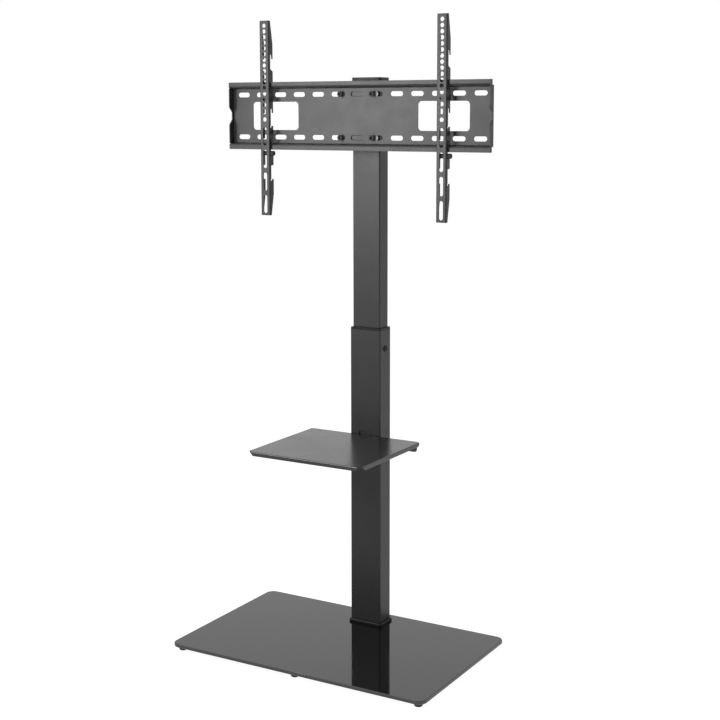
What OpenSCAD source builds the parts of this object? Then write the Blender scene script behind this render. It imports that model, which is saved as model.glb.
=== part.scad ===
// Floor stand for a flat screen: glass foot, telescoping column, media shelf, mount plate and two hook-on arms.
// Millimetres, +Z up, the screen's side faces -Y, origin on the floor under the middle of the glass.

/* [Glass foot] */
// Width of the glass, left to right
base_w = 640; // [560:10:760]
// Depth of the glass, front to back
base_d = 400; // [360:10:500]
// Thickness of the glass
glass_t = 8; // [6:1:12]
// Corner radius of the glass
glass_r = 20; // [10:1:40]
// Ground edge of the glass, its width
glass_arris = 1; // [0.5:0.1:1.5]
// Height of the rubber feet
foot_h = 10; // [9:0.5:16]
// Diameter of a foot at the glass
foot_d = 24; // [18:1:30]
// Diameter of a foot at the floor
foot_floor_d = 17; // [12:1:24]
// Distance from the glass edge to the rim of a foot
foot_inset = 8; // [3:1:20]

/* [Base fixing] */
// Width of the steel plate under the glass
under_w = 160; // [120:5:220]
// Depth of the steel plate under the glass
under_d = 90; // [80:5:105]
// Reach of that plate behind the column's centre line
under_back = 20; // [19:0.5:21]
// Thickness of the steel plate under the glass
under_t = 3; // [2:0.5:4]
// Thickness of the soft sheet above that plate
under_pad_t = 1.5; // [1:0.5:2]
// Thickness of the rubber sheet under the column
column_pad_t = 1; // [0.5:0.5:2]
// Height of the tapped block in the column's foot
foot_block_h = 12; // [8:1:20]
// Spacing of the base bolts, left to right
base_bolt_x = 44; // [36:1:50]
// Spacing of the base bolts, front to back
base_bolt_y = 22; // [18:1:26]
// Diameter of the base bolts
base_bolt_d = 8; // [6:1:8]
// Diameter of the base bolt heads
base_head_d = 14; // [12:1:16]
// Height of the base bolt heads
base_head_h = 3.5; // [2.5:0.5:3.5]
// Width of the trim collar's margin round the column
collar_margin = 4.7; // [2.5:0.1:6]
// Height of the trim collar
collar_h = 7; // [6:0.5:20]
// Bevel on top of the trim collar
collar_bevel = 2; // [1:0.5:2]

/* [Column] */
// Distance from the back edge of the glass to the column's centre line
column_setback = 56; // [54:1:100]
// Width of the lower tube
low_w = 78; // [77:0.5:82]
// Depth of the lower tube
low_d = 49; // [48:0.5:54]
// Wall of the lower tube
low_wall = 1.5; // [1.2:0.1:1.7]
// Corner radius of the lower tube
low_r = 3.5; // [2.5:0.5:4]
// Height of the lower tube's rim above the glass
low_h = 698; // [560:1:800]
// Width of the upper tube
up_w = 70; // [68:0.5:71]
// Depth of the upper tube
up_d = 38.5; // [37:0.5:39.5]
// Wall of the upper tube
up_wall = 1.5; // [1.2:0.1:2.5]
// Corner radius of the upper tube
up_r = 3; // [3:0.5:5]
// Length of the upper tube
up_len = 825; // [700:1:900]
// Length of the upper tube inside the lower one
inside_len = 270; // [210:1:320]
// Height of the guide bush's rim on the lower tube
rim_h = 5; // [3:0.5:8]
// Length of the guide bush inside the lower tube
liner_len = 62; // [55:1:90]
// Height of the guide at the upper tube's bottom end
guide_h = 40; // [25:1:60]
// Running clearance between the tubes and their guides
slide_gap = 0.3; // [0.2:0.05:0.5]
// Distance from the rim down to the clamp screws
clamp_drop = 48; // [40:1:58]
// Diameter of the clamp screws' thread
clamp_d = 8; // [6:1:8]
// Diameter of the clamp screws' heads
clamp_head_d = 13; // [11:1:15]
// Height of the clamp screws' heads
clamp_head_h = 2.5; // [2:0.5:4]
// Wall of the top cap round the upper tube
cap_wall = 1.8; // [1.2:0.1:3]
// Thickness of the top cap's roof
cap_t = 4; // [2:0.5:5]
// Height of the top cap's skirt
cap_skirt = 12; // [8:1:20]

/* [Shelf] */
// Width of the shelf
shelf_w = 288; // [240:2:320]
// Depth of the shelf
shelf_d = 264; // [220:2:280]
// Thickness of the shelf's sheet
shelf_t = 1.5; // [1:0.1:2]
// Height of the shelf's folded edge
shelf_edge = 9; // [7:0.5:14]
// Height of the shelf's top above the glass
shelf_h = 451; // [300:1:520]
// Outer bend radius of the shelf's folded edges
shelf_r = 2.5; // [2.2:0.1:3]
// Clipped corner at the shelf's front
shelf_clip = 11; // [6:0.5:20]
// Clipped corner at the shelf's back
shelf_back_clip = 6; // [4:0.5:12]
// Height of the folded edge at the back
shelf_back_edge = 15; // [10:0.5:20]
// Inset of the back edge's ends from the shelf's sides
shelf_back_inset = 13; // [8:1:30]
// Radius of the back edge's lower corners
shelf_back_r = 7; // [4:0.5:9]
// Clipped ends of the front and side edges
edge_clip = 5; // [2:0.5:6]
// Thickness of the bracket's steel
bracket_t = 2; // [1.5:0.5:3]
// Width of the bracket
bracket_w = 60; // [50:1:66]
// Reach of the bracket's top plate under the shelf
bracket_reach = 150; // [100:5:200]
// Height of the bracket's back plate
bracket_h = 66; // [60:2:120]
// Width of the hook tongue
tongue_w = 28; // [20:1:40]
// Rise of the hook behind the column's wall
tongue_rise = 12; // [11:0.5:14]
// Height of the slot in the column's front
slot_rise = 11.5; // [10:0.5:13]
// Margin of the slot round the tongue, left and right
slot_margin = 1.8; // [1:0.1:4]
// Diameter of the shelf's studs and of its lock screw
stud_d = 5; // [4:1:5]
// Size of the stud nuts across flats
stud_nut_af = 8; // [7:0.5:9]
// Height of the stud nuts
stud_nut_h = 4; // [3:0.5:5]

/* [Head bracket] */
// Distance between the upper tube's front and the plate's back
head_depth = 39; // [30:1:60]
// Distance from the upper tube's top down to the plate's centre
plate_drop = 80.5; // [70:0.5:110]
// Thickness of the bracket's steel
head_t = 3; // [2.5:0.5:4]
// Width of the bracket's face plate
face_w = 94; // [94:1:110]
// Height of the bracket's face plate
face_h = 130; // [122:1:140]
// Height of the bracket's channel
neck_h = 74; // [50:1:76]
// Length of the channel's cheeks beside the tube
cheek_len = 30; // [28:1:38]
// Spacing of the cross bolts, top to bottom
cross_gap = 38; // [24:1:44]
// Diameter of the plate bolts and cross bolts
bolt_d = 8; // [6:1:8]
// Spacing of the plate bolts, left to right
bolt_gap = 80; // [78:1:82]
// Height of the plate bolts' heads
bolt_head_h = 5; // [3:0.5:5]
// Diameter of the plate bolts' heads
bolt_head_d = 13; // [12:0.5:14]
// Thickness of the washers
washer_t = 1.6; // [1:0.1:1.6]
// Diameter of the washers
washer_d = 17; // [15:1:18]
// Size of the hex nuts across flats
nut_af = 13; // [12:0.5:13]
// Height of the hex nuts
nut_h = 6.5; // [5:0.5:8]

/* [Mount plate] */
// Width of the mount plate
plate_w = 661; // [656:1:760]
// Height of the mount plate
plate_h = 151; // [148:1:170]
// Thickness of the plate's sheet
plate_t = 2; // [1.5:0.1:2]
// Depth from the rails' front to the web's front
rail_depth = 17.5; // [15:0.5:20]
// Height of a rail's lip, down to the wall behind it
lip_h = 13.5; // [13:0.5:14]
// Outer bend radius of the lips
lip_r = 6; // [4:0.5:6]
// Outer bend radius between the walls, the folded ends and the web
web_r = 4; // [3:0.5:5]
// Number of slots in each row
slot_count = 13; // [13:2:13]
// Pitch of the slots
slot_pitch = 50; // [45:1:51]
// Length of a slot
slot_len = 31; // [24:1:36]
// Height of a slot
slot_h = 10.6; // [9:0.1:12]
// Distance between the two rows of slots
row_gap = 95; // [92:1:98]
// Width of a window
window_w = 123; // [80:1:130]
// Height of a window
window_h = 63; // [40:1:70]
// Corner radius of a window
window_r = 8; // [4:1:15]
// Distance from the plate's middle to a window's centre
window_x = 213.5; // [200:0.5:240]
// Height of the notch in a folded end, at its mouth
notch_mouth = 40; // [30:1:60]
// Height of that notch at its root
notch_root = 17; // [10:1:28]
// Depth of that notch
notch_depth = 10.5; // [5:0.5:12]
// Depth of the stop tabs at the rails' ends
stop_depth = 9; // [5:0.5:10]

/* [Arms] */
// Distance from the plate's middle to the left arm
left_arm_x = 227; // [150:1:240]
// Distance from the plate's middle to the right arm
right_arm_x = 221; // [150:1:240]
// Width of an arm
arm_w = 24.4; // [23:0.1:27]
// Thickness of the arms' sheet
arm_t = 1.8; // [1.5:0.1:2]
// Outer bend radius of the arms
arm_r = 2.5; // [2:0.1:3.5]
// Depth of the arms' flanges
arm_depth = 16.4; // [16.2:0.1:17]
// Distance from an arm's end to its first hole
arm_end = 11.3; // [9:0.1:20]
// Pitch of the round holes
hole_pitch = 12.5; // [11.5:0.1:12.5]
// Number of round holes
hole_count = 15; // [9:1:15]
// Diameter of the round holes
hole_d = 9.5; // [8:0.1:10]
// Distance from the first hole to the small slot
key_at = 190.2; // [189:0.1:192]
// Width of the small slot
key_w = 6.5; // [5:0.5:8]
// Length of the small slot
key_len = 12; // [9:0.5:14]
// Distance from the first hole to the large hole
pilot_at = 207.6; // [207:0.1:210]
// Diameter of the large hole
pilot_d = 10; // [8:0.5:12]
// Distance from the first hole to the first long slot's centre
long_at = 245.4; // [244:0.2:248]
// Pitch of the long slots
long_pitch = 51; // [48:0.5:52]
// Number of long slots
long_count = 4; // [3:1:4]
// Length of a long slot
long_len = 41; // [30:1:42]
// Distance from the last long slot's centre to the arm's lower end
arm_tail = 25.5; // [24:0.5:40]
// Distance from the first hole to the middle hook
hook_at = 123.9; // [120:0.1:130]
// Pitch of the three hooks
hook_pitch = 60; // [58:1:62]
// Depth from the arm's front to its hook slots
hook_depth = 6.8; // [6.5:0.1:7]
// Width of a hook slot
hook_w = 5.6; // [5:0.1:5.6]
// Corner radius of a hook slot's roof
hook_r = 0.6; // [0.4:0.1:0.6]
// Length of a hook's prong
prong = 9.5; // [8:0.5:10.5]
// Slope on the prong's inner side, at its tip
prong_lead = 1.4; // [0.5:0.1:1.5]
// Clearance between the arms and the rails
hang_gap = 0.3; // [0.2:0.05:0.5]
// Distance from the lower rail's edge to the lock bolt
lock_drop = 8.3; // [8:0.1:12]
// Diameter of the lock bolt
lock_d = 6; // [5:1:6]
// Diameter of the lock bolt's head
lock_head_d = 11; // [9:0.5:12]
// Height of the lock bolt's head
lock_head_h = 7.5; // [4:0.5:8]
// Diameter of the lock bolt's sleeve
sleeve_d = 10; // [9:0.5:11]
// Size of the lock nut across flats
lock_nut_af = 10; // [9:0.5:10]
// Height of the lock nut
lock_nut_h = 5; // [4:0.5:7]

/* [Hidden] */
$fn = 48;

// One overrun serves every cut.
over = 1;
// Clearance of a bolt in a plain hole, on the radius.
bolt_play = 0.25;
// Clearance of a bolt in a hole through glass, on the radius.
glass_play = 1;
// Clearance of a piece that is pushed into or over another.
fit_play = 0.1;
// Smallest edge break on moulded and ground pieces.
edge_break = 0.5;

// Heights from the floor up.
glass_z = foot_h;
glass_top = glass_z + glass_t;
tube_foot_z = glass_top + column_pad_t;
rim_top = glass_top + low_h;
low_top = rim_top - rim_h;
low_in_w = low_w - 2 * low_wall;
low_in_d = low_d - 2 * low_wall;
low_in_r = low_r - low_wall;
up_foot_z = rim_top - inside_len;
up_top = up_foot_z + up_len;
plate_z = up_top - plate_drop;
plate_top = plate_z + plate_h / 2;

// Depths, front to back.
column_y = base_d / 2 - column_setback;
low_front = column_y - low_d / 2;
up_front = column_y - up_d / 2;
web_back = up_front - head_depth;
web_front = web_back - plate_t;
rail_front = web_front - rail_depth;
arm_front = rail_front - hook_depth - hang_gap;

// Heights on an arm, counted down from its first hole.
arm_zero = plate_top + hang_gap + hook_at;
arm_foot_t = long_at + (long_count - 1) * long_pitch + arm_tail;
arm_len = arm_end + arm_foot_t;
lock_t = hook_at + hang_gap + plate_h + lock_drop;
lock_depth = hook_depth + hang_gap + plate_t / 2;
arm_end_depth = 7;
arm_taper_t = 40;
arm_low_taper_t = 374.5;
arm_widen = 31.7;
arm_widen_run = 5;
lower_pad_len = 29.4;
lower_pad_tip = 1.5;

// Holes for the shelf's tongue and the guides.
shelf_top = glass_top + shelf_h;
tongue_top = shelf_top - shelf_t;
tongue_foot = tongue_top - bracket_t;
slot_play = 0.5;
hook_gap = 0.5;
hook_inside = low_wall + hook_gap + bracket_t;

// The shelf, its studs and its lock screw.
shelf_back = low_front - hang_gap;
shelf_front = shelf_back - shelf_d;
stud_over = 1.5;
stud_inset = 12;
stud_gap = 80;
lock_screw_z = tongue_top - bracket_h + stud_inset;
lock_screw_len = low_wall + bracket_t;
shelf_screw_h = 3;
shelf_screw_d = 9;

// Hex sockets in screw heads.
socket_share = 0.45;
socket_depth_share = 0.6;
// Height of the bracket's triangular cheeks at their tip, as a share of the bracket's height.
cheek_tip_share = 0.2;

// A rectangle with round corners, centred.
module round_rect(w, d, r) {
    square([w - 2 * r, d], center = true);
    square([w, d - 2 * r], center = true);
    for (x = [-1, 1], y = [-1, 1])
        translate([x * (w / 2 - r), y * (d / 2 - r)])
            circle(r);
}

// A block with round upright corners and a chamfer along its top and foot edges.
module rim_block(w, d, t, r, ct, cb) {
    rotate([90, 0, 90])
        linear_extrude(w - 2 * r, center = true)
            polygon([[-d / 2 + cb, 0], [d / 2 - cb, 0], [d / 2, cb], [d / 2, t - ct], [d / 2 - ct, t],
                [-d / 2 + ct, t], [-d / 2, t - ct], [-d / 2, cb]]);
    rotate([90, 0, 0])
        linear_extrude(d - 2 * r, center = true)
            polygon([[-w / 2 + cb, 0], [w / 2 - cb, 0], [w / 2, cb], [w / 2, t - ct], [w / 2 - ct, t],
                [-w / 2 + ct, t], [-w / 2, t - ct], [-w / 2, cb]]);
    for (x = [-1, 1], y = [-1, 1])
        translate([x * (w / 2 - r), y * (d / 2 - r), 0])
            rotate_extrude()
                polygon([[0, 0], [r - cb, 0], [r, cb], [r, t - ct], [r - ct, t], [0, t]]);
}

// A rectangular tube, standing on z = 0.
module tube(w, d, wall, r, h) {
    linear_extrude(h)
        difference() {
            round_rect(w, d, r);
            round_rect(w - 2 * wall, d - 2 * wall, r - wall);
        }
}

// A straight slot with round ends along X, cut through along Y from its centre.
module slot_cut(len, h, deep) {
    rotate([90, 0, 0])
        linear_extrude(deep, center = true) {
            square([len - h, h], center = true);
            for (x = [-1, 1])
                translate([x * (len - h) / 2, 0])
                    circle(h / 2);
        }
}

// A low round screw head with a hex socket, its seat at z = 0, pointing up.
module socket_head(d, h, bevel) {
    difference() {
        rotate_extrude()
            polygon([[0, 0], [d / 2, 0], [d / 2, h - bevel], [d / 2 - bevel, h], [0, h]]);
        translate([0, 0, h * (1 - socket_depth_share)])
            cylinder(h = h, d = d * socket_share, $fn = 6);
    }
}

// A hex nut with a bore, its seat at z = 0, pointing up.
module hex_nut(af, h, bore) {
    difference() {
        cylinder(h = h, d = af / cos(30), $fn = 6);
        translate([0, 0, -over])
            cylinder(h = h + 2 * over, d = bore);
    }
}

// The six places of the feet.
module at_feet() {
    for (x = [-1, 0, 1], y = [-1, 1])
        translate([x * (base_w / 2 - foot_inset - foot_d / 2), y * (base_d / 2 - foot_inset - foot_d / 2), 0])
            children();
}

// The four places of the base bolts.
module at_base_bolts() {
    for (x = [-1, 1], y = [-1, 1])
        translate([x * base_bolt_x / 2, column_y + y * base_bolt_y / 2, 0])
            children();
}

// The four places of the plate bolts, on the web's front, turned so that +Z points out at -Y.
module at_plate_bolts() {
    for (x = [-1, 1], z = [-1, 1])
        translate([x * bolt_gap / 2, web_front, plate_z + z * row_gap / 2])
            rotate([90, 0, 0])
                children();
}

// The two places of the cross bolts, on the column's centre line, turned so that +Z points to +X.
module at_cross_bolts() {
    for (z = [-1, 1])
        translate([0, column_y, plate_z + z * cross_gap / 2])
            rotate([0, 90, 0])
                children();
}

module glass_base() {
    color("#16181a")
        difference() {
            translate([0, 0, glass_z])
                rim_block(base_w, base_d, glass_t, glass_r, glass_arris, glass_arris);
            at_base_bolts()
                translate([0, 0, glass_z - over])
                    cylinder(h = glass_t + 2 * over, d = base_bolt_d + 2 * glass_play);
        }
}

module feet() {
    color("#1b1b1b")
        at_feet()
            rotate_extrude()
                polygon([[0, 0], [foot_floor_d / 2 - edge_break, 0], [foot_floor_d / 2, edge_break],
                    [foot_d / 2, foot_h - edge_break], [foot_d / 2, foot_h], [0, foot_h]]);
}

// A flat sheet round the base bolts, its middle at y.
module base_sheet(w, d, y, z, t) {
    difference() {
        translate([0, y, z])
            linear_extrude(t)
                round_rect(w, d, low_r);
        at_base_bolts()
            translate([0, 0, z - over])
                cylinder(h = t + 2 * over, d = base_bolt_d + 2 * bolt_play);
    }
}

module under_pad() {
    color("#2a2a2a")
        base_sheet(under_w, under_d, column_y + under_back - under_d / 2, glass_z - under_pad_t, under_pad_t);
}

module under_plate() {
    color("#3a3c3f")
        base_sheet(under_w, under_d, column_y + under_back - under_d / 2, glass_z - under_pad_t - under_t, under_t);
}

module base_bolts() {
    seat = glass_z - under_pad_t - under_t;
    color("#8a8d90")
        at_base_bolts() {
            translate([0, 0, seat])
                rotate([180, 0, 0])
                    socket_head(base_head_d, base_head_h, edge_break);
            translate([0, 0, seat])
                cylinder(h = tube_foot_z + foot_block_h - seat, d = base_bolt_d);
        }
}

module column_pad() {
    color("#222222")
        base_sheet(low_w, low_d, column_y, glass_top, column_pad_t);
}

module foot_block() {
    color("#4a4c4f")
        difference() {
            translate([0, column_y, tube_foot_z])
                linear_extrude(foot_block_h)
                    round_rect(low_in_w - 2 * fit_play, low_in_d - 2 * fit_play, low_in_r);
            at_base_bolts()
                translate([0, 0, tube_foot_z - over])
                    cylinder(h = foot_block_h + 2 * over, d = base_bolt_d + 2 * fit_play);
        }
}

module collar() {
    color("#0f0f10")
        difference() {
            translate([0, column_y, glass_top])
                rim_block(low_w + 2 * collar_margin, low_d + 2 * collar_margin, collar_h,
                    low_r + collar_margin, collar_bevel, edge_break);
            translate([0, column_y, glass_top - over])
                linear_extrude(collar_h + 2 * over)
                    round_rect(low_w + 2 * fit_play, low_d + 2 * fit_play, low_r);
        }
}

module lower_tube() {
    color("#303234")
        difference() {
            translate([0, column_y, tube_foot_z])
                tube(low_w, low_d, low_wall, low_r, low_top - tube_foot_z);
            translate([0, column_y, rim_top - clamp_drop])
                rotate([0, 90, 0])
                    cylinder(h = low_w + 2 * over, d = clamp_d + 2 * fit_play, center = true);
            translate([-tongue_w / 2 - slot_margin, low_front - over, tongue_foot - slot_play])
                cube([tongue_w + 2 * slot_margin, low_wall + 2 * over, slot_rise]);
            translate([0, low_front, lock_screw_z])
                rotate([90, 0, 0])
                    cylinder(h = 2 * low_wall + 2 * over, d = stud_d + 2 * fit_play, center = true);
        }
}

module tube_liner() {
    color("#141415")
        difference() {
            union() {
                translate([0, column_y, low_top])
                    rim_block(low_w, low_d, rim_h, low_r, edge_break * 2, edge_break);
                translate([0, column_y, low_top - liner_len])
                    linear_extrude(liner_len + over)
                        round_rect(low_in_w - 2 * fit_play, low_in_d - 2 * fit_play, low_in_r);
            }
            translate([0, column_y, low_top - liner_len - over])
                linear_extrude(liner_len + rim_h + 2 * over)
                    round_rect(up_w + 2 * slide_gap, up_d + 2 * slide_gap, up_r + slide_gap);
            translate([0, column_y, rim_top - clamp_drop])
                rotate([0, 90, 0])
                    cylinder(h = low_w + 2 * over, d = clamp_d + 2 * bolt_play, center = true);
        }
}

module height_screws() {
    color("#101010")
        for (side = [0, 180])
            translate([0, column_y, rim_top - clamp_drop])
                rotate([0, 0, side])
                    rotate([0, 90, 0]) {
                        translate([0, 0, low_w / 2])
                            socket_head(clamp_head_d, clamp_head_h, edge_break);
                        translate([0, 0, up_w / 2 + slide_gap])
                            cylinder(h = (low_w - up_w) / 2 - slide_gap, d = clamp_d);
                    }
}

module upper_tube() {
    color("#3c3e40")
        difference() {
            translate([0, column_y, up_foot_z])
                tube(up_w, up_d, up_wall, up_r, up_len);
            at_cross_bolts()
                cylinder(h = up_w + 2 * over, d = bolt_d + 2 * bolt_play, center = true);
        }
}

// A moulded shoe round the tube's foot. Its front has a groove that passes the shelf's hook.
module tube_guide() {
    color("#1a1a1a")
        difference() {
            translate([0, column_y, up_foot_z - low_wall])
                linear_extrude(guide_h)
                    round_rect(low_in_w - 2 * slide_gap, low_in_d - 2 * slide_gap, low_in_r);
            translate([0, column_y, up_foot_z])
                linear_extrude(guide_h)
                    round_rect(up_w + 2 * fit_play, up_d + 2 * fit_play, up_r);
            translate([0, column_y, up_foot_z - low_wall - over])
                linear_extrude(guide_h)
                    round_rect(up_w - 2 * up_r, up_d - 2 * up_r, up_r);
            translate([-tongue_w / 2 - slot_margin, low_front, up_foot_z - low_wall - over])
                cube([tongue_w + 2 * slot_margin, hook_inside + slide_gap, guide_h + 2 * over]);
        }
}

module top_cap() {
    color("#2c2d2e")
        difference() {
            translate([0, column_y, up_top - cap_skirt])
                rim_block(up_w + 2 * (cap_wall + fit_play), up_d + 2 * (cap_wall + fit_play), cap_skirt + cap_t,
                    up_r + cap_wall, edge_break * 2, edge_break);
            translate([0, column_y, up_top - cap_skirt - over])
                linear_extrude(cap_skirt + over)
                    round_rect(up_w + 2 * fit_play, up_d + 2 * fit_play, up_r);
        }
}

// The four places of the shelf's studs, on the underside of its sheet.
module at_studs() {
    for (x = [-1, 1], y = [0, 1])
        translate([x * (bracket_w / 2 - bracket_t - stud_inset), low_front - bracket_reach + stud_inset
            + y * stud_gap, tongue_top])
            children();
}

// A folded edge along X, its outer face at y = 0 and its top at z = 0. The child is the outline of its leg.
module folded_edge(len) {
    rotate([90, 0, 90])
        linear_extrude(len, center = true)
            translate([shelf_r, -shelf_r])
                difference() {
                    intersection() {
                        circle(shelf_r);
                        translate([-shelf_r, 0])
                            square(shelf_r);
                    }
                    circle(shelf_r - shelf_t);
                }
    translate([0, shelf_t, 0])
        rotate([90, 0, 0])
            linear_extrude(shelf_t)
                children();
}

// The leg of a folded edge with clipped lower corners.
module clipped_leg(len, h) {
    polygon([[-len / 2, -shelf_r], [len / 2, -shelf_r], [len / 2, edge_clip - h], [len / 2 - edge_clip, -h],
        [edge_clip - len / 2, -h], [-len / 2, edge_clip - h]]);
}

// The leg of a folded edge with round lower corners.
module round_leg(len, h, r) {
    translate([-len / 2, r - h])
        square([len, h - r - shelf_r]);
    translate([r - len / 2, -h])
        square([len - 2 * r, r]);
    for (x = [-1, 1])
        translate([x * (len / 2 - r), r - h])
            circle(r);
}

module shelf() {
    notch = bracket_w + 2 * slot_margin;
    x_in = shelf_w / 2 - shelf_r;
    x_clip = shelf_w / 2 - shelf_clip;
    x_back = shelf_w / 2 - shelf_back_clip;
    side_len = shelf_d - shelf_clip - shelf_back_clip;
    back_len = shelf_w - 2 * shelf_back_inset;
    color("#55575a") {
        difference() {
            union() {
                translate([0, 0, tongue_top])
                    linear_extrude(shelf_t)
                        polygon([[-x_clip, shelf_front + shelf_r], [x_clip, shelf_front + shelf_r],
                            [x_in, shelf_front + shelf_clip], [x_in, shelf_back - shelf_back_clip],
                            [x_back, shelf_back - shelf_r], [-x_back, shelf_back - shelf_r],
                            [-x_in, shelf_back - shelf_back_clip], [-x_in, shelf_front + shelf_clip]]);
                translate([0, shelf_front, shelf_top])
                    folded_edge(2 * x_clip)
                        clipped_leg(2 * x_clip, shelf_edge);
                for (side = [-1, 1])
                    translate([side * shelf_w / 2, shelf_front + shelf_clip + side_len / 2, shelf_top])
                        rotate([0, 0, side * 90])
                            folded_edge(side_len)
                                clipped_leg(side_len, shelf_edge);
                translate([0, shelf_back, shelf_top])
                    rotate([0, 0, 180])
                        folded_edge(back_len)
                            round_leg(back_len, shelf_back_edge, shelf_back_r);
            }
            translate([-notch / 2, shelf_back - shelf_r, tongue_top - shelf_back_edge])
                cube([notch, shelf_r + over, shelf_back_edge]);
        }
        at_studs()
            translate([0, 0, -bracket_t - stud_nut_h - stud_over])
                cylinder(h = bracket_t + stud_nut_h + stud_over, d = stud_d);
    }
}

module shelf_bracket() {
    tip_h = bracket_h * cheek_tip_share;
    front = low_front - bracket_reach;
    color("#2e3032")
        difference() {
            union() {
                translate([-bracket_w / 2, front, tongue_foot])
                    cube([bracket_w, bracket_reach, bracket_t]);
                translate([-bracket_w / 2, low_front - bracket_t, tongue_top - bracket_h])
                    cube([bracket_w, bracket_t, bracket_h]);
                for (x = [-bracket_w / 2, bracket_w / 2 - bracket_t])
                    translate([x, 0, 0])
                        rotate([90, 0, 90])
                            linear_extrude(bracket_t)
                                polygon([[front, tongue_top], [front, tongue_top - tip_h],
                                    [low_front, tongue_top - bracket_h], [low_front, tongue_top]]);
                translate([-tongue_w / 2, low_front - bracket_t, tongue_foot])
                    cube([tongue_w, bracket_t + hook_inside, bracket_t]);
                translate([-tongue_w / 2, low_front + low_wall + hook_gap, tongue_foot])
                    cube([tongue_w, bracket_t, bracket_t + tongue_rise]);
            }
            at_studs()
                translate([0, 0, -bracket_t - over])
                    cylinder(h = bracket_t + 2 * over, d = stud_d + 2 * bolt_play);
            translate([0, low_front, lock_screw_z])
                rotate([90, 0, 0])
                    cylinder(h = 2 * bracket_t + 2 * over, d = stud_d + 2 * bolt_play, center = true);
        }
}

module shelf_nuts() {
    color("#6d7073")
        at_studs()
            translate([0, 0, -bracket_t - stud_nut_h])
                hex_nut(stud_nut_af, stud_nut_h, stud_d + 2 * fit_play);
}

module shelf_lock_screw() {
    color("#17181a")
        translate([0, low_front - bracket_t, lock_screw_z])
            rotate([90, 0, 0]) {
                socket_head(shelf_screw_d, shelf_screw_h, edge_break);
                translate([0, 0, -lock_screw_len])
                    cylinder(h = lock_screw_len, d = stud_d);
            }
}

// Face plate, U channel round the tube's cheeks and a saddle on the tube's front, welded together.
module head_bracket() {
    neck_in = up_w / 2 + fit_play;
    neck_len = head_depth - head_t + cheek_len;
    color("#2b2d2f")
        difference() {
            union() {
                translate([-face_w / 2, web_back, plate_z - face_h / 2])
                    cube([face_w, head_t, face_h]);
                for (x = [-neck_in - head_t, neck_in])
                    translate([x, web_back + head_t, plate_z - neck_h / 2])
                        cube([head_t, neck_len, neck_h]);
                translate([-neck_in, up_front - fit_play - head_t, plate_z - neck_h / 2])
                    cube([2 * neck_in, head_t, neck_h]);
            }
            at_plate_bolts()
                cylinder(h = 4 * head_t + 4 * plate_t, d = bolt_d + 2 * bolt_play, center = true);
            at_cross_bolts()
                cylinder(h = up_w + 4 * head_t, d = bolt_d + 2 * bolt_play, center = true);
        }
}

module bracket_bolts() {
    cheek = up_w / 2 + fit_play + head_t;
    color("#1c1d1f")
        at_cross_bolts() {
            translate([0, 0, cheek])
                socket_head(bolt_head_d, bolt_head_h, edge_break);
            translate([0, 0, -cheek - nut_h - over])
                cylinder(h = 2 * cheek + nut_h + over, d = bolt_d);
        }
}

module bracket_nuts() {
    cheek = up_w / 2 + fit_play + head_t;
    color("#6d7073")
        at_cross_bolts()
            translate([0, 0, -cheek - nut_h])
                hex_nut(nut_af, nut_h, bolt_d + 2 * fit_play);
}

// One rail: lip, bend, wall and the bend into the web, for the plate's upper edge, its lips at y = 0.
module rail_outline() {
    wall_z = -lip_h;
    translate([0, wall_z + lip_r])
        square([plate_t, lip_h - lip_r]);
    translate([lip_r, wall_z + lip_r])
        difference() {
            intersection() {
                circle(lip_r);
                translate([-lip_r, -lip_r])
                    square(lip_r);
            }
            circle(lip_r - plate_t);
        }
    translate([lip_r, wall_z])
        square([rail_depth + plate_t - web_r - lip_r, plate_t]);
    translate([rail_depth + plate_t - web_r, wall_z + plate_t - web_r])
        difference() {
            intersection() {
                circle(web_r);
                square(web_r);
            }
            circle(web_r - plate_t);
        }
}

// Plan of the right folded end: its wall, the outer face at x = 0, and the bend into the web.
module end_outline() {
    bend_y = rail_depth + plate_t - web_r;
    translate([-plate_t, 0])
        square([plate_t, bend_y]);
    translate([-web_r, bend_y])
        difference() {
            intersection() {
                circle(web_r);
                square(web_r);
            }
            circle(web_r - plate_t);
        }
}

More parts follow.
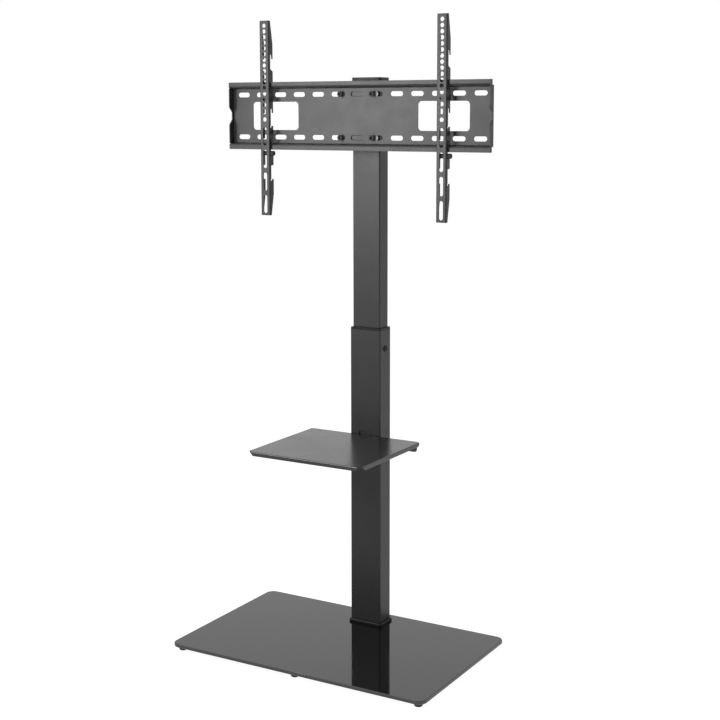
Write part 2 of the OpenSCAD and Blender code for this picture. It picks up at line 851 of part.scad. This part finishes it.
module mount_plate() {
    end_h = plate_h - 2 * lip_h;
    web_h = plate_h - 2 * (lip_h + web_r - plate_t);
    stop_h = lip_h - plate_t;
    color("#5d5f61")
        difference() {
            union() {
                difference() {
                    translate([-plate_w / 2, rail_front, plate_z])
                        rotate([90, 0, 90])
                            linear_extrude(plate_w)
                                for (side = [0, 1])
                                    mirror([0, side])
                                        translate([0, plate_h / 2])
                                            rail_outline();
                    for (side = [0, 1])
                        mirror([side, 0, 0])
                            translate([plate_w / 2 - web_r, web_back - web_r, plate_z - plate_h / 2 - over])
                                linear_extrude(plate_h + 2 * over)
                                    difference() {
                                        square(web_r + over);
                                        circle(web_r);
                                    }
                }
                translate([-plate_w / 2 + web_r, web_front, plate_z - web_h / 2])
                    cube([plate_w - 2 * web_r, plate_t, web_h]);
                for (side = [0, 1])
                    mirror([side, 0, 0]) {
                        translate([plate_w / 2, rail_front, plate_z])
                            intersection() {
                                translate([0, 0, -end_h / 2])
                                    linear_extrude(end_h)
                                        end_outline();
                                rotate([90, 0, -90])
                                    linear_extrude(3 * web_r, center = true)
                                        polygon([[0, -end_h / 2 - over], [-rail_depth - web_r, -end_h / 2 - over],
                                            [-rail_depth - web_r, end_h / 2 + over], [0, end_h / 2 + over],
                                            [0, notch_mouth / 2], [-notch_depth, notch_root / 2],
                                            [-notch_depth, -notch_root / 2], [0, -notch_mouth / 2]]);
                            }
                        for (z = [-1, 1])
                            translate([plate_w / 2 - plate_t, rail_front,
                                plate_z + z * (plate_h - stop_h) / 2 - stop_h / 2])
                                cube([plate_t, stop_depth, stop_h]);
                    }
            }
            for (i = [0 : slot_count - 1], z = [-1, 1])
                translate([(i - (slot_count - 1) / 2) * slot_pitch, web_front, plate_z + z * row_gap / 2])
                    slot_cut(slot_len, slot_h, 4 * plate_t);
            for (x = [-1, 1])
                translate([x * window_x, web_front, plate_z])
                    rotate([90, 0, 0])
                        linear_extrude(4 * plate_t, center = true)
                            round_rect(window_w, window_h, window_r);
        }
}

module plate_bolts() {
    color("#121212")
        at_plate_bolts() {
            translate([0, 0, washer_t])
                socket_head(bolt_head_d, bolt_head_h, edge_break);
            translate([0, 0, -plate_t - head_t - nut_h - over])
                cylinder(h = washer_t + plate_t + head_t + nut_h + over, d = bolt_d);
        }
}

module plate_washers() {
    color("#b9bcbf")
        at_plate_bolts()
            difference() {
                cylinder(h = washer_t, d = washer_d);
                translate([0, 0, -over])
                    cylinder(h = washer_t + 2 * over, d = bolt_d + 2 * bolt_play);
            }
}

module plate_nuts() {
    color("#6d7073")
        at_plate_bolts()
            translate([0, 0, -plate_t - head_t - nut_h])
                hex_nut(nut_af, nut_h, bolt_d + 2 * fit_play);
}

// Side view of an arm: x is the depth behind its front, y the height over its first hole.
module arm_side() {
    far = arm_depth + over;
    difference() {
        polygon([[0, arm_end], [arm_end_depth, arm_end], [arm_depth, -arm_taper_t], [arm_depth, -arm_low_taper_t],
            [arm_end_depth, -arm_foot_t], [0, -arm_foot_t]]);
        for (k = [-1, 0, 1]) {
            top = -hook_at - k * hook_pitch;
            for (x = [hook_r, hook_w - hook_r])
                translate([hook_depth + x, top - hook_r])
                    circle(hook_r);
            translate([hook_depth + hook_r, top - 2 * hook_r])
                square([hook_w - 2 * hook_r, 2 * hook_r]);
            polygon([[hook_depth, top - hook_r], [hook_depth + hook_w, top - hook_r],
                [hook_depth + hook_w + prong_lead, top - prong], [far, top - prong], [far, top - arm_widen - arm_widen_run],
                [arm_depth, top - arm_widen - arm_widen_run], [hook_depth, top - arm_widen]]);
        }
        for (k = [-1, 0, 1]) {
            bolt = -lock_t - k * hook_pitch;
            from = k < 0 ? -hook_at - hook_pitch - arm_widen : bolt + hook_pitch - lower_pad_len + lower_pad_tip;
            translate([lock_depth, bolt])
                circle(lock_d / 2 + fit_play);
            polygon([[hook_depth, bolt], [hook_depth, from], [far, from + lower_pad_tip],
                [far, bolt + lower_pad_tip], [lock_depth + lock_d / 2 + fit_play, bolt + lower_pad_tip],
                [lock_depth + lock_d / 2 + fit_play, bolt]]);
        }
    }
}

// Section of an arm from above: a U with its web in front.
module arm_section() {
    difference() {
        union() {
            translate([-arm_w / 2, arm_r])
                square([arm_w, arm_depth - arm_r]);
            translate([-arm_w / 2 + arm_r, 0])
                square([arm_w - 2 * arm_r, arm_depth]);
            for (x = [-1, 1])
                translate([x * (arm_w / 2 - arm_r), arm_r])
                    circle(arm_r);
        }
        translate([-arm_w / 2 + arm_t, arm_t])
            square([arm_w - 2 * arm_t, arm_depth]);
    }
}

// An upright slot through an arm's web, its centre t below the first hole.
module web_slot(t, w, len) {
    translate([0, arm_t / 2, -t])
        rotate([0, 90, 0])
            slot_cut(len, w, arm_t + 2 * over);
}

module arm() {
    translate([0, arm_front, arm_zero])
        difference() {
            intersection() {
                translate([0, 0, -arm_foot_t])
                    linear_extrude(arm_len)
                        arm_section();
                rotate([90, 0, 90])
                    linear_extrude(arm_w + 2 * over, center = true)
                        arm_side();
            }
            for (i = [0 : hole_count - 1])
                translate([0, arm_t / 2, -i * hole_pitch])
                    rotate([90, 0, 0])
                        cylinder(h = arm_t + 2 * over, d = hole_d, center = true);
            web_slot(key_at, key_w, key_len);
            translate([0, arm_t / 2, -pilot_at])
                rotate([90, 0, 0])
                    cylinder(h = arm_t + 2 * over, d = pilot_d, center = true);
            for (i = [0 : long_count - 1])
                web_slot(long_at + i * long_pitch, hole_d, long_len);
        }
}

// The lock bolt's place on an arm, turned so that +Z points to +X.
module at_lock() {
    translate([0, arm_front + lock_depth, arm_zero - lock_t])
        rotate([0, 90, 0])
            children();
}

module lock_bolt() {
    at_lock() {
        translate([0, 0, arm_w / 2])
            socket_head(lock_head_d, lock_head_h, edge_break);
        translate([0, 0, -arm_w / 2])
            cylinder(h = arm_w, d = lock_d);
    }
}

module lock_sleeve() {
    inside = arm_w / 2 - arm_t;
    at_lock()
        translate([0, 0, lock_nut_h - inside + fit_play])
            difference() {
                cylinder(h = 2 * (inside - fit_play) - lock_nut_h, d = sleeve_d);
                translate([0, 0, -over])
                    cylinder(h = arm_w, d = lock_d + 2 * fit_play);
            }
}

module lock_nut() {
    at_lock()
        translate([0, 0, arm_t - arm_w / 2])
            hex_nut(lock_nut_af, lock_nut_h, lock_d + 2 * fit_play);
}

module left_arm() {
    color("#606264")
        translate([-left_arm_x, 0, 0])
            arm();
}

module right_arm() {
    color("#606264")
        translate([right_arm_x, 0, 0])
            arm();
}

module left_lock_bolt() {
    color("#111111")
        translate([-left_arm_x, 0, 0])
            lock_bolt();
}

module right_lock_bolt() {
    color("#111111")
        translate([right_arm_x, 0, 0])
            lock_bolt();
}

module left_lock_sleeve() {
    color("#1d1d1d")
        translate([-left_arm_x, 0, 0])
            lock_sleeve();
}

module right_lock_sleeve() {
    color("#1d1d1d")
        translate([right_arm_x, 0, 0])
            lock_sleeve();
}

module left_lock_nut() {
    color("#6d7073")
        translate([-left_arm_x, 0, 0])
            lock_nut();
}

module right_lock_nut() {
    color("#6d7073")
        translate([right_arm_x, 0, 0])
            lock_nut();
}

glass_base();
feet();
under_plate();
under_pad();
base_bolts();
column_pad();
foot_block();
collar();
lower_tube();
tube_liner();
height_screws();
upper_tube();
tube_guide();
top_cap();
shelf();
shelf_bracket();
shelf_nuts();
shelf_lock_screw();
head_bracket();
bracket_bolts();
bracket_nuts();
mount_plate();
plate_bolts();
plate_washers();
plate_nuts();
left_arm();
right_arm();
left_lock_bolt();
right_lock_bolt();
left_lock_sleeve();
right_lock_sleeve();
left_lock_nut();
right_lock_nut();
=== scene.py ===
"""A floor stand for a flat screen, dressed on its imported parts: glass foot, column, shelf and mount."""

import math

import bpy
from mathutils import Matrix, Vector


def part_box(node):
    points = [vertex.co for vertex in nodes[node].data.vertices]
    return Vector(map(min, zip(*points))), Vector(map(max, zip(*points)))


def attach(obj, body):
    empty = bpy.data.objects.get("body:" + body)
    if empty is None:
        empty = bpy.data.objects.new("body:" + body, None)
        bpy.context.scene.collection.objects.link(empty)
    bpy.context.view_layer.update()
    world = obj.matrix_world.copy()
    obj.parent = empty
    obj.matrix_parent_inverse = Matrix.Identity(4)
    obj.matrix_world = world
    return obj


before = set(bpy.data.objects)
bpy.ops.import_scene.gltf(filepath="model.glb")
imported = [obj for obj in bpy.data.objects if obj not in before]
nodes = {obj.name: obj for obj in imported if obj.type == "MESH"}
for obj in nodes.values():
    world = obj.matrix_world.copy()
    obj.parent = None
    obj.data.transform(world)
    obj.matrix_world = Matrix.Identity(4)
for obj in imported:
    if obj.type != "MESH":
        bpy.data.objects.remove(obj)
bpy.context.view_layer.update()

# The camera stands in front of the stand's right side, at about the height of the screen plate, and looks a
# little down. Its place and lens come from the stand's own edges in the picture, 720 pixels each way.
picture = 720
focal_px = 1372.8
centre_px = (373.2, 308.8)
eye = Vector((1.5468, -2.5304, 1.1921))
turn = 0.5224
tip = 0.1401
camera_data = bpy.data.cameras.new("camera")
camera_data.sensor_width = 36.0
camera_data.lens = camera_data.sensor_width * focal_px / picture
camera_data.shift_x = (picture / 2 - centre_px[0]) / picture
camera_data.shift_y = (centre_px[1] - picture / 2) / picture
camera_data.clip_end = 60.0
camera = bpy.data.objects.new("camera", camera_data)
camera.location = eye
camera.rotation_euler = (math.pi / 2 - tip, 0.0, turn)
bpy.context.scene.collection.objects.link(camera)
bpy.context.scene.camera = camera
bpy.context.scene.view_settings.view_transform = "Standard"


# The glass foot is one sheet of black tempered glass. Its faces are fire-polished, its edge is ground to a
# small arris all round, and the ground edge is left a little duller than the faces.
class Term:
    """A number or colour in a tree of nodes. Sums and products of terms add Math nodes."""

    def __init__(self, shade, socket):
        self.shade = shade
        self.socket = socket

    def out(self, name):
        return Term(self.shade, self.socket.node.outputs[name])

    def _math(self, operation, first, second):
        return self.shade.node("ShaderNodeMath", {"operation": operation}, {0: first, 1: second})

    def __add__(self, other):
        return self._math("ADD", self, other)

    def __radd__(self, other):
        return self._math("ADD", other, self)

    def __sub__(self, other):
        return self._math("SUBTRACT", self, other)

    def __rsub__(self, other):
        return self._math("SUBTRACT", other, self)

    def __mul__(self, other):
        return self._math("MULTIPLY", self, other)

    def __rmul__(self, other):
        return self._math("MULTIPLY", other, self)


class Shade:
    """A tree of nodes. node() adds any node, sets it and feeds its sockets."""

    def __init__(self, owner):
        self.owner = owner
        self.tree = owner
        if hasattr(owner, "use_nodes"):
            owner.use_nodes = True
            self.tree = owner.node_tree
        self.tree.nodes.clear()

    def node(self, kind, settings=None, sockets=None):
        made = self.tree.nodes.new(kind)
        for name, value in (settings or {}).items():
            setattr(made, name, value)
        for name, value in (sockets or {}).items():
            if isinstance(value, Term):
                self.tree.links.new(value.socket, made.inputs[name])
            else:
                made.inputs[name].default_value = value
        return Term(self, made.outputs[0]) if made.outputs else None

    def ramp(self, value, low, high, start=0.3, end=0.7):
        """Low up to start, high from end on, and a smooth step between. Most noise lies in 0.3 to 0.7."""
        return self.node("ShaderNodeMapRange", {"interpolation_type": "SMOOTHSTEP"},
                         {"Value": value, "From Min": start, "From Max": end, "To Min": low, "To Max": high})

    def blend(self, factor, first, second):
        mixed = self.node("ShaderNodeMix", {"data_type": "RGBA"}, {0: factor, 6: first, 7: second})
        return mixed.out("Result")

    def noise(self, place, scale, detail=2.0):
        return self.node("ShaderNodeTexNoise", {}, {"Vector": place, "Scale": scale, "Detail": detail})

    def bump(self, height, strength, depth=0.0002, **more):
        return self.node("ShaderNodeBump", {},
                         {"Strength": strength, "Distance": depth, "Height": height, **more})

    def facing(self, axis):
        """How squarely the surface faces along one axis, from -1 to 1."""
        normal = self.node("ShaderNodeTexCoord").out("Normal")
        return self.node("ShaderNodeSeparateXYZ", {}, {0: normal}).out(axis)


def grey(level, warm=0.0):
    return (level * (1 + warm), level, level * (1 - warm), 1.0)


def surface(name, shading):
    """A material whose look is what shading(shade, place) returns as Principled sockets.

    The painted-shade key is no socket of that node: where it is 1, a dull near-black is painted as shade.
    """
    shade = Shade(bpy.data.materials.new(name))
    place = shade.node("ShaderNodeTexCoord").out("Object")
    sockets = shading(shade, place)
    painted_shade_mask = sockets.pop("Crevice", None)
    skin = shade.node("ShaderNodeBsdfPrincipled", {}, sockets)
    # Painted shade: a dull near-black diffuse stands in where the mask marks a corner or crease.
    if painted_shade_mask is not None:
        dull = shade.node("ShaderNodeBsdfDiffuse", {}, {"Color": grey(0.008)})
        skin = shade.node("ShaderNodeMixShader", {}, {0: painted_shade_mask, 1: skin, 2: dull})
    shade.node("ShaderNodeOutputMaterial", {}, {"Surface": skin})
    return shade.owner


def paint(names, material):
    for name in names:
        for held in nodes[name].material_slots:
            held.material = material


def black_glass(shade, place):
    smears = shade.noise(place, scale=9.0, detail=4.0)
    dust = shade.noise(place, scale=420.0)
    upright = shade.facing("Z")
    ground = shade.ramp(upright * upright, 1.0, 0.0, start=0.01, end=0.1)
    return {
        "Base Color": shade.blend(ground, grey(0.004, -0.03), grey(0.035, -0.02)),
        "Roughness": shade.ramp(smears, 0.02, 0.07, start=0.35) + ground * 0.3 + dust * 0.02,
        "Normal": shade.bump(smears, strength=0.02, depth=0.0005),
    }


paint(["glass_base"], surface("black_glass", black_glass))


# Six rubber feet, moulded with a slight taper and glued under the glass along its front and back edges. The
# pads above and below the glass, under the column and over the load plate, are sheets of the same rubber.
def foot_rubber(shade, place):
    grain = shade.noise(place, scale=900.0)
    mottle = shade.noise(place, scale=60.0)
    return {
        "Base Color": shade.blend(mottle, grey(0.010), grey(0.018)),
        "Roughness": shade.ramp(mottle, 0.7, 0.85),
        "Normal": shade.bump(grain, strength=0.4, depth=0.0003),
    }


paint(["feet", "under_pad", "column_pad"], surface("foot_rubber", foot_rubber))


# Zinc-plated steel: the load plate under the glass, its bolts, the tapped block in the column's foot and all
# the nuts. The plating is bright and a little cloudy.
def zinc_plate(shade, place):
    cloud = shade.noise(place, scale=140.0, detail=3.0)
    scratch = shade.noise(place, scale=1400.0)
    return {
        "Base Color": shade.blend(cloud, grey(0.42, 0.01), grey(0.60, 0.02)),
        "Metallic": 1.0,
        "Roughness": shade.ramp(cloud, 0.22, 0.42),
        "Normal": shade.bump(scratch, strength=0.15),
    }


paint(["under_plate", "base_bolts", "foot_block", "shelf_nuts", "bracket_nuts", "plate_nuts",
       "left_lock_nut", "right_lock_nut"], surface("zinc_plate", zinc_plate))


# Black injection mouldings: the trim collar at the column's foot, the guide bush in the lower tube's rim, the
# guide on the upper tube's end, the top cap and the spacer sleeves. They have a fine spark-eroded grain.
def moulded_black(shade, place):
    grain = shade.noise(place, scale=1100.0, detail=1.0)
    flow = shade.noise(place, scale=30.0)
    return {
        "Base Color": shade.blend(flow, grey(0.004), grey(0.008)),
        "Roughness": shade.ramp(flow, 0.36, 0.44),
        "Specular IOR Level": 0.2,
        "Normal": shade.bump(grain, strength=0.25),
    }


paint(["collar", "tube_liner", "tube_guide", "top_cap", "left_lock_sleeve", "right_lock_sleeve"],
      surface("moulded_black", moulded_black))


# The column is a rectangular steel tube on the glass with a smaller one that slides in it. Tubes, brackets,
# plate and arms are powder coated black, a satin film with a faint orange peel that softens every edge.
edge_softening = 0.0006


def powder_coat(shade, place):
    peel = shade.noise(place, scale=520.0)
    cloud = shade.noise(place, scale=24.0, detail=3.0)
    mottle = shade.noise(place, scale=190.0, detail=3.0)
    # Painted shade: within 3 mm of a corner or crease, ambient occlusion paints the coat a dull near-black.
    openness = shade.node("ShaderNodeAmbientOcclusion", {"samples": 6}, {"Distance": 0.003}).out("AO")
    softened = shade.node("ShaderNodeBevel", {"samples": 4}, {"Radius": edge_softening})
    return {
        "Base Color": shade.blend(cloud, grey(0.016, 0.01), grey(0.021, 0.01)),
        "Roughness": shade.ramp(cloud, 0.345, 0.385) + mottle * 0.08,
        "Specular IOR Level": 0.3,
        "Normal": shade.bump(peel, strength=0.35, Normal=softened),
        "Crevice": shade.ramp(openness, 0.9, 0.0, start=0.5, end=0.8),
    }


coat = surface("powder_coat", powder_coat)
paint(["lower_tube", "upper_tube", "shelf_bracket", "head_bracket", "mount_plate", "left_arm", "right_arm"],
      coat)

# The head bracket is welded from plate before it is coated. A bead of overlapping scales runs in two lengths
# down each outer corner, where a cheek meets the face plate, and the coat runs over it.
weld_sizes = {"Scale Pitch": 0.0018, "Bead Radius": 0.002, "Unevenness": 0.08}
scale_lap = 0.9
weld_seed = 7
weld_tree = bpy.data.node_groups.new("weld_bead", "GeometryNodeTree")
weld_tree.interface.new_socket("Seams", in_out="INPUT", socket_type="NodeSocketGeometry")
for label, size in weld_sizes.items():
    weld_tree.interface.new_socket(label, in_out="INPUT", socket_type="NodeSocketFloat").default_value = size
weld_tree.interface.new_socket("Finish", in_out="INPUT", socket_type="NodeSocketMaterial")
weld_tree.interface.new_socket("Beads", in_out="OUTPUT", socket_type="NodeSocketGeometry")
weld = Shade(weld_tree)
given = weld.node("NodeGroupInput")
line = weld.node("GeometryNodeMeshToCurve", {}, {"Mesh": given.out("Seams")})
drops = weld.node("GeometryNodeResampleCurve", {"mode": "LENGTH"},
                  {"Curve": line, "Length": given.out("Scale Pitch")})
drop = weld.node("GeometryNodeMeshUVSphere", {}, {"Segments": 12, "Rings": 8, "Radius": 1.0}).out("Mesh")
along = weld.node("FunctionNodeAlignRotationToVector", {"axis": "X"},
                  {"Vector": weld.node("GeometryNodeInputTangent")})
thinnest = 1 - given.out("Unevenness")
thickest = 1 + given.out("Unevenness")
uneven = weld.node("FunctionNodeRandomValue", {"data_type": "FLOAT"},
                   {2: thinnest, 3: thickest, "Seed": weld_seed}).out(1)
across = given.out("Bead Radius") * uneven
drop_size = weld.node("ShaderNodeCombineXYZ", {},
                      {"X": given.out("Scale Pitch") * scale_lap, "Y": across, "Z": across})
beads = weld.node("GeometryNodeInstanceOnPoints", {},
                  {"Points": drops, "Instance": drop, "Rotation": along, "Scale": drop_size})
whole = weld.node("GeometryNodeRealizeInstances", {}, {"Geometry": beads})
faceted = weld.node("GeometryNodeSetShadeSmooth", {}, {"Geometry": whole, "Shade Smooth": False})
dressed = weld.node("GeometryNodeSetMaterial", {}, {"Geometry": faceted, "Material": given.out("Finish")})
weld.node("NodeGroupOutput", {}, {"Beads": dressed})

bracket_low, bracket_high = map(Vector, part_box("head_bracket"))
face_plate_thick = 0.003
cheek_x = 0.0381
seam_y = bracket_low.y + face_plate_thick
seam_z = (bracket_low.z + bracket_high.z) / 2
seam_reach = 0.034
seam_start = 0.3 * seam_reach
seam_ends = []
for side in (-1, 1):
    for low, high in ((-seam_reach, -seam_start), (seam_start, seam_reach)):
        seam_ends.append((side * cheek_x, seam_y, seam_z + low))
        seam_ends.append((side * cheek_x, seam_y, seam_z + high))
seam_mesh = bpy.data.meshes.new("head_welds")
seam_mesh.from_pydata(seam_ends, [(i, i + 1) for i in range(0, len(seam_ends), 2)], [])
head_welds = bpy.data.objects.new("head_welds", seam_mesh)
bpy.context.scene.collection.objects.link(head_welds)
growth = head_welds.modifiers.new("growth", "NODES")
growth.node_group = weld_tree
fed = {**weld_sizes, "Finish": coat}
for socket in weld_tree.interface.items_tree:
    if socket.name in fed:
        growth[socket.identifier] = fed[socket.name]
bpy.context.view_layer.update()
grown = head_welds.evaluated_get(bpy.context.evaluated_depsgraph_get())
plain = bpy.data.meshes.new_from_object(grown)
head_welds.modifiers.clear()
head_welds.data = plain
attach(head_welds, "head")


# The shelf is a folded steel tray with the same black coat, sprayed finer and a little smoother so that it
# wipes clean.
def shelf_coat(shade, place):
    peel = shade.noise(place, scale=700.0)
    cloud = shade.noise(place, scale=10.0, detail=3.0)
    softened = shade.node("ShaderNodeBevel", {"samples": 4}, {"Radius": edge_softening})
    return {
        "Base Color": shade.blend(cloud, grey(0.010), grey(0.014)),
        "Roughness": shade.ramp(cloud, 0.23, 0.28),
        "Normal": shade.bump(peel, strength=0.2, Normal=softened),
    }


shelf_finish = surface("shelf_coat", shelf_coat)
paint(["shelf"], shelf_finish)

# The tray's back edge is folded deeper than its sides, in one strip on each side of the column. Each strip
# ends in a round corner that hangs below the side edge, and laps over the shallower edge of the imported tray.
tray_high = Vector(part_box("shelf")[1])
tray_thick = 0.0015
lap = 0.0001
strip_start = 0.004
back_edge_reach = 0.0245
edge_front = tray_high.y - tray_thick - lap
edge_back = tray_high.y + lap
edge_start = 0.042
edge_end = 0.1346
edge_top = tray_high.z - strip_start
edge_foot = tray_high.z - back_edge_reach
corner_radius = 0.006
corner_steps = 8
half = [(edge_start, edge_top), (edge_start, edge_foot)]
for i in range(corner_steps + 1):
    angle = math.pi / 2 * i / corner_steps
    half.append((edge_end - corner_radius + corner_radius * math.sin(angle),
                 edge_foot + corner_radius - corner_radius * math.cos(angle)))
half.append((edge_end, edge_top))
corners = []
faces = []
for side in (-1, 1):
    outline = [(side * x, z) for x, z in half][::side]
    first = len(corners)
    count = len(outline)
    corners += [(x, edge_front, z) for x, z in outline] + [(x, edge_back, z) for x, z in outline]
    faces.append([first + i for i in range(count)])
    faces.append([first + count + i for i in reversed(range(count))])
    for i in range(count):
        j = (i + 1) % count
        faces.append([first + i, first + count + i, first + count + j, first + j])
edge_mesh = bpy.data.meshes.new("shelf_back_edge")
edge_mesh.from_pydata(corners, [], faces)
edge_mesh.materials.append(shelf_finish)
back_edge = bpy.data.objects.new("shelf_back_edge", edge_mesh)
bpy.context.scene.collection.objects.link(back_edge)
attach(back_edge, "stand")


# Black bolts: the clamp screws in the column's sides, the plate bolts, the cross bolts and the arms' lock
# bolts. They are blackened steel with a dry finish, duller than the coat around them.
def black_oxide(shade, place):
    cloud = shade.noise(place, scale=260.0, detail=3.0)
    return {
        "Base Color": shade.blend(cloud, grey(0.006), grey(0.012, 0.02)),
        "Roughness": shade.ramp(cloud, 0.68, 0.82),
        "Normal": shade.bump(cloud, strength=0.1),
    }


paint(["height_screws", "shelf_lock_screw", "bracket_bolts", "plate_bolts", "left_lock_bolt",
       "right_lock_bolt"], surface("black_oxide", black_oxide))


# The four washers under the plate bolts are stamped from blackened strip. Tumbling has worn their rims down
# to the steel, so that these are brighter than their faces.
def worn_washer(shade, place):
    cloud = shade.noise(place, scale=200.0, detail=3.0)
    front = shade.facing("Y")
    rim = shade.ramp(front * front, 1.0, 0.0, start=0.05, end=0.4)
    return {
        "Base Color": shade.blend(rim, grey(0.016), grey(0.16, 0.01)),
        "Metallic": rim,
        "Roughness": shade.ramp(cloud, 0.40, 0.48),
        "Normal": shade.bump(cloud, strength=0.1),
    }


paint(["plate_washers"], surface("worn_washer", worn_washer))


# The studio. Its background is white wherever it is seen: straight on, in glass and metal, or through
# something. The light comes from sheets round the stand, the brightest behind it to the left, from two lit
# patches of floor, and from a key lamp to the left, a weak lamp overhead and a fill lamp low on the right.
def sector(shade, direction, heading, edge, full):
    """1 inside a cone of directions round a heading, fading to 0 at its edge. Both limits are cosines."""
    towards = shade.node("ShaderNodeVectorMath", {"operation": "DOT_PRODUCT"},
                         {0: direction, 1: Vector(heading).normalized()}).out("Value")
    return shade.ramp(towards, 0.0, 1.0, start=edge, end=full)


def seen(shade):
    """1 for a ray that looks at the background: from the camera, off a gloss or through a clear surface."""
    path = shade.node("ShaderNodeLightPath")
    return path.out("Is Camera Ray") + path.out("Is Glossy Ray") + path.out("Is Transmission Ray")


floor_half = 7.0
floor_mesh = bpy.data.meshes.new("studio_floor")
floor_mesh.from_pydata([(-floor_half, -floor_half, 0), (floor_half, -floor_half, 0),
                        (floor_half, floor_half, 0), (-floor_half, floor_half, 0)], [], [(0, 1, 2, 3)])
studio_floor = bpy.data.objects.new("studio_floor", floor_mesh)
bpy.context.scene.collection.objects.link(studio_floor)
floor = Shade(bpy.data.materials.new("studio_floor"))
floor_place = floor.node("ShaderNodeTexCoord").out("Object")
bearing = floor.node("ShaderNodeVectorMath", {"operation": "NORMALIZE"}, {0: floor_place}).out("Vector")
distance = floor.node("ShaderNodeVectorMath", {"operation": "LENGTH"}, {0: floor_place}).out("Value")
front_patch = (sector(floor, bearing, (-0.5, -0.86, 0.0), edge=0.3, full=0.9)
               * floor.ramp(distance, 0.0, 1.0, start=1.44, end=2.16))
back_patch = (sector(floor, bearing, (0.5, 0.86, 0.0), edge=0.3, full=0.9)
              * floor.ramp(distance, 1.0, 0.35, start=1.28, end=1.92))
front_glow = 1.99
back_glow = 0.92
white = floor.ramp(distance, 0.94, 1.0, start=0.3, end=0.9)

# A ray that looks at the floor sees white. One that it lights gets the two patches instead.
floor_seen = seen(floor)
floor_level = floor_seen * white + (1 - floor_seen) * (front_patch * front_glow + back_patch * back_glow)
matt = floor.node("ShaderNodeBsdfDiffuse", {}, {"Color": grey(0.3)})
glow = floor.node("ShaderNodeEmission", {}, {"Color": grey(1.0), "Strength": floor_level})
matt_and_glow = floor.node("ShaderNodeAddShader", {}, {0: matt, 1: glow})
floor.node("ShaderNodeOutputMaterial", {}, {"Surface": matt_and_glow})
floor_mesh.materials.append(floor.owner)

world = bpy.data.worlds.new("studio")
bpy.context.scene.world = world
sky = Shade(world)
direction = sky.node("ShaderNodeTexCoord").out("Generated")

# Each sheet is a round patch of light: where it hangs, the cosine of its half-width, and how bright it is.
dim_room = 0.07
light_sheets = {
    "behind left": {"heading": (-0.631, 0.752, 0.191), "edge": 0.883, "level": 1.2},
    "behind right": {"heading": (0.468, 0.880, 0.087), "edge": 0.883, "level": 0.42},
    "left": {"heading": (-0.986, -0.086, 0.139), "edge": 0.883, "level": 0.7},
    "right": {"heading": (0.975, -0.172, 0.139), "edge": 0.866, "level": 0.7},
    "front right": {"heading": (0.568, -0.811, 0.139), "edge": 0.906, "level": 0.6},
}
room = dim_room
for sheet in light_sheets.values():
    room = room + sector(sky, direction, sheet["heading"], sheet["edge"], full=1.0) * sheet["level"]
sky_seen = seen(sky)
sky_level = sky_seen + (1 - sky_seen) * room
backdrop = sky.node("ShaderNodeBackground", {}, {"Color": grey(1.0), "Strength": sky_level})
sky.node("ShaderNodeOutputWorld", {}, {"Surface": backdrop})


def soft_lamp(name, place, aim, width, height, power, mirrored=True):
    lamp = bpy.data.lights.new(name, "AREA")
    lamp.shape = "RECTANGLE"
    lamp.size = width
    lamp.size_y = height
    lamp.energy = power
    held = bpy.data.objects.new(name, lamp)
    held.location = place
    held.rotation_euler = (Vector(aim) - Vector(place)).to_track_quat("-Z", "Y").to_euler()
    held.visible_camera = False
    held.visible_glossy = mirrored
    bpy.context.scene.collection.objects.link(held)


soft_lamp("key_lamp", place=(-0.64, -1.17, 1.25), aim=(0.0, 0.07, 1.2), width=0.78, height=0.6, power=19.0)
soft_lamp("top_lamp", place=(-1.1, -1.0, 2.6), aim=(0.0, 0.0, 0.4), width=2.0, height=2.0, power=18.0)
soft_lamp("floor_lamp", place=(1.2, -0.7, 0.1), aim=(0.2, 0.07, 0.6), width=0.9, height=0.6, power=14.0,
          mirrored=False)
